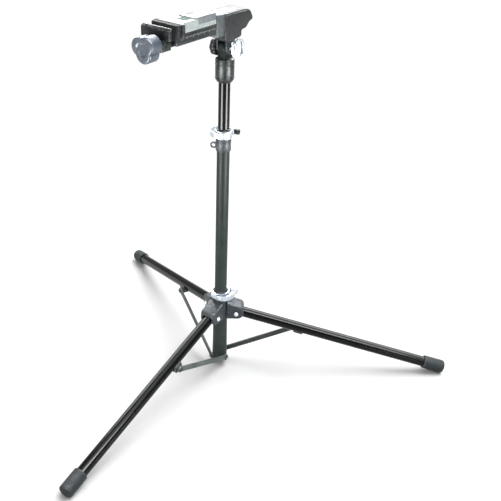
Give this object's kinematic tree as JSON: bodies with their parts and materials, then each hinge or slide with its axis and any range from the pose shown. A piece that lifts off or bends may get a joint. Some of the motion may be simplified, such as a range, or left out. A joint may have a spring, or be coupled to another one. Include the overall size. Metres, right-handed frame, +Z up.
{
  "type": "bike repair stand",
  "caption": "Folding bicycle repair stand with a three-leg base, a telescoping mast and a tilting clamp head whose jaw closes by a screw.",
  "frame": {"origin": "on the floor at the middle of the stand's outline", "axes": "+Z up, +X along leg 2, +Y across; the clamp arm points forward and left, 236 degrees round from +X"},
  "size_m": [1.0346, 1.1896, 1.069],
  "materials": {
    "column_grey": "satin grey anodised tube",
    "black_anodised": "gloss black anodised",
    "casting_grey": "fine-grained blue-grey moulding",
    "rail_dark": "satin dark grey with pale scale marks",
    "knob_grey": "blue-grey moulded grip",
    "black_plastic": "satin black moulding",
    "foot_rubber": "matte dark grey rubber",
    "pad_rubber": "matte black rubber",
    "strut_steel": "grey plated steel",
    "bolt_steel": "bright plated steel",
    "bright_aluminium": "bright polished aluminium",
    "white_jaw": "white silver paint"
  },
  "bodies": {
    "base": {"lower_column": "column_grey", "base_sleeve": "column_grey", "base_end_plug": "black_plastic", "strut_inner_bolt_1": "bolt_steel", "strut_inner_bolt_2": "bolt_steel", "strut_inner_bolt_3": "bolt_steel", "collar_body": "casting_grey", "collar_bush": "black_plastic", "collar_band": "bright_aluminium", "collar_skewer": "bolt_steel", "collar_nut": "black_plastic"},
    "hub": {"hub_casting": "casting_grey", "hub_bush": "black_plastic", "hub_bolt_1": "bolt_steel", "hub_bolt_2": "bolt_steel", "hub_bolt_3": "bolt_steel", "hub_band": "bright_aluminium", "hub_skewer": "bolt_steel", "hub_nut": "black_plastic"},
    "leg_1": {"leg_tube_1": "black_anodised", "leg_insert_1": "black_plastic", "leg_foot_1": "foot_rubber", "leg_bracket_1": "casting_grey"},
    "leg_2": {"leg_tube_2": "black_anodised", "leg_insert_2": "black_plastic", "leg_foot_2": "foot_rubber", "leg_bracket_2": "casting_grey"},
    "leg_3": {"leg_tube_3": "black_anodised", "leg_insert_3": "black_plastic", "leg_foot_3": "foot_rubber", "leg_bracket_3": "casting_grey"},
    "strut_1": {"strut_bar_1": "strut_steel", "strut_outer_bolt_1": "bolt_steel"},
    "strut_2": {"strut_bar_2": "strut_steel", "strut_outer_bolt_2": "bolt_steel"},
    "strut_3": {"strut_bar_3": "strut_steel", "strut_outer_bolt_3": "bolt_steel"},
    "hub_lever": {"hub_lever": "bright_aluminium"},
    "mast": {"mast_tube": "black_anodised", "mast_bush": "black_plastic", "head_socket": "column_grey"},
    "collar_lever": {"collar_lever": "bright_aluminium"},
    "head": {"tilt_fork": "column_grey", "tilt_axle": "bolt_steel", "head_body": "casting_grey", "side_plate_left": "casting_grey", "side_plate_right": "casting_grey", "front_collar": "casting_grey", "rail": "rail_dark", "jaw_body": "white_jaw", "jaw_cover": "black_plastic", "jaw_plate": "black_plastic", "inner_pad": "pad_rubber"},
    "tilt_knob": {"tilt_knob": "black_plastic"},
    "cam_lever": {"cam_lever": "bright_aluminium"},
    "outer_jaw": {"jaw_carriage": "column_grey", "outer_jaw_bar": "black_plastic", "outer_pad": "pad_rubber"},
    "clamp_screw": {"clamp_screw": "bolt_steel", "clamp_knob": "knob_grey"}
  },
  "joints": [
    {"name": "hub_slide", "type": "slide", "parent": "base", "child": "hub", "axis": [0, 0, 1], "range_m": [0, 0.2792]},
    {"name": "leg_1_hinge", "type": "hinge", "parent": "hub", "child": "leg_1", "pos_m": [-0.18808, -0.04157, 0.18721], "axis": [0.866, -0.5, 0], "range_deg": [0, 72.9]},
    {"name": "leg_2_hinge", "type": "hinge", "parent": "hub", "child": "leg_2", "pos_m": [-0.11608, 0, 0.18721], "axis": [0, 1, 0], "range_deg": [0, 72.9]},
    {"name": "leg_3_hinge", "type": "hinge", "parent": "hub", "child": "leg_3", "pos_m": [-0.18808, 0.04157, 0.18721], "axis": [-0.866, -0.5, 0], "range_deg": [0, 72.9]},
    {"name": "strut_1_hinge", "type": "hinge", "parent": "base", "child": "strut_1", "pos_m": [-0.16593, -0.0032, 0.024], "axis": [-0.866, 0.5, 0], "range_deg": [0, 57.6]},
    {"name": "strut_2_hinge", "type": "hinge", "parent": "base", "child": "strut_2", "pos_m": [-0.16038, 0, 0.024], "axis": [0, -1, 0], "range_deg": [0, 57.6]},
    {"name": "strut_3_hinge", "type": "hinge", "parent": "base", "child": "strut_3", "pos_m": [-0.16593, 0.0032, 0.024], "axis": [0.866, 0.5, 0], "range_deg": [0, 57.6]},
    {"name": "hub_lever_hinge", "type": "hinge", "parent": "hub", "child": "hub_lever", "pos_m": [-0.12044, 0.01314, 0.24406], "axis": [0, 0, 1], "range_deg": [0, 140]},
    {"name": "mast_slide", "type": "slide", "parent": "base", "child": "mast", "axis": [0, 0, 1], "range_m": [-0.085, 0.45]},
    {"name": "collar_lever_hinge", "type": "hinge", "parent": "base", "child": "collar_lever", "pos_m": [-0.18313, 0.03961, 0.73855], "axis": [0, 0, -1], "range_deg": [0, 140]},
    {"name": "head_tilt", "type": "hinge", "parent": "mast", "child": "head", "pos_m": [-0.16408, 0, 0.9655], "axis": [0.829, -0.5592, 0], "range_deg": [-90, 75]},
    {"name": "tilt_knob_turn", "type": "hinge", "parent": "head", "child": "tilt_knob", "pos_m": [-0.16408, 0, 0.9655], "axis": [0.829, -0.5592, 0], "range_deg": [-360, 360]},
    {"name": "cam_lever_hinge", "type": "hinge", "parent": "head", "child": "cam_lever", "pos_m": [-0.14522, -0.01031, 0.9655], "axis": [0, 0, -1], "range_deg": [0, 90]},
    {"name": "jaw_slide", "type": "slide", "parent": "head", "child": "outer_jaw", "axis": [-0.5592, -0.829, 0], "range_m": [-0.0121, 0.0301]},
    {"name": "clamp_screw_turn", "type": "hinge", "parent": "outer_jaw", "child": "clamp_screw", "pos_m": [-0.16408, 0, 1.024], "axis": [-0.5592, -0.829, 0], "range_deg": [-1080, 2700]}
  ],
  "couplings": [
    {"joint": "leg_1_hinge", "follows": "hub_slide", "rad_per_m": 4.5509},
    {"joint": "leg_2_hinge", "follows": "hub_slide", "rad_per_m": 4.5509},
    {"joint": "leg_3_hinge", "follows": "hub_slide", "rad_per_m": 4.5509},
    {"joint": "strut_1_hinge", "follows": "hub_slide", "rad_per_m": 3.5946},
    {"joint": "strut_2_hinge", "follows": "hub_slide", "rad_per_m": 3.5946},
    {"joint": "strut_3_hinge", "follows": "hub_slide", "rad_per_m": 3.5946},
    {"joint": "jaw_slide", "follows": "clamp_screw_turn", "m_per_rad": 0.00063662}
  ]
}
